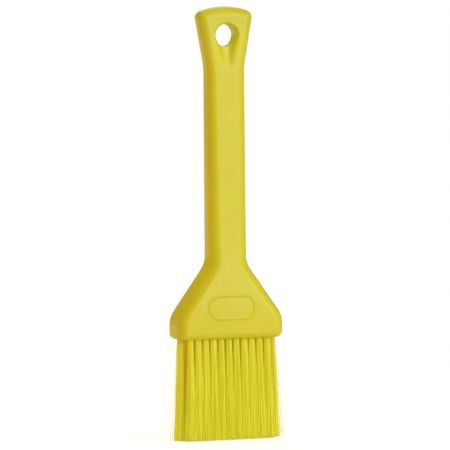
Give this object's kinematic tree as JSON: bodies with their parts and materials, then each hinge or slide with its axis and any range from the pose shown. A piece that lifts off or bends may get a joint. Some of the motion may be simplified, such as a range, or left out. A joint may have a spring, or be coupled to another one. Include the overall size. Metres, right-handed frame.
{
  "type": "flat detail brush",
  "caption": "Flat bristle brush: moulded handle with a flared end and hanging hole, wedge-shaped head and three rows of separate bristle tufts held by wire anchors.",
  "frame": {"origin": "centre of the plane of the bristle tips, midway in width and in thickness", "axes": "+Z from the bristle tips up to the flared end, -Y out of the front face that carries the badge, +X across the width to the right seen from the front"},
  "size_m": [0.0508, 0.0173, 0.195],
  "materials": {
    "handle_plastic": "satin moulded polypropylene, solid yellow",
    "filament": "fine polyester filaments, semi-gloss, lemon yellow",
    "anchor_wire": "flat drawn stainless wire"
  },
  "bodies": {
    "root": {"handle": "handle_plastic", "tuft_front_01": "filament", "tuft_front_02": "filament", "tuft_front_03": "filament", "tuft_front_04": "filament", "tuft_front_05": "filament", "tuft_front_06": "filament", "tuft_front_07": "filament", "tuft_front_08": "filament", "tuft_front_09": "filament", "tuft_front_10": "filament", "tuft_front_11": "filament", "tuft_middle_01": "filament", "tuft_middle_02": "filament", "tuft_middle_03": "filament", "tuft_middle_04": "filament", "tuft_middle_05": "filament", "tuft_middle_06": "filament", "tuft_middle_07": "filament", "tuft_middle_08": "filament", "tuft_middle_09": "filament", "tuft_middle_10": "filament", "tuft_middle_11": "filament", "tuft_middle_12": "filament", "tuft_middle_13": "filament", "tuft_back_01": "filament", "tuft_back_02": "filament", "tuft_back_03": "filament", "tuft_back_04": "filament", "tuft_back_05": "filament", "tuft_back_06": "filament", "tuft_back_07": "filament", "tuft_back_08": "filament", "tuft_back_09": "filament", "tuft_back_10": "filament", "tuft_back_11": "filament", "anchors": "anchor_wire"}
  },
  "joints": []
}
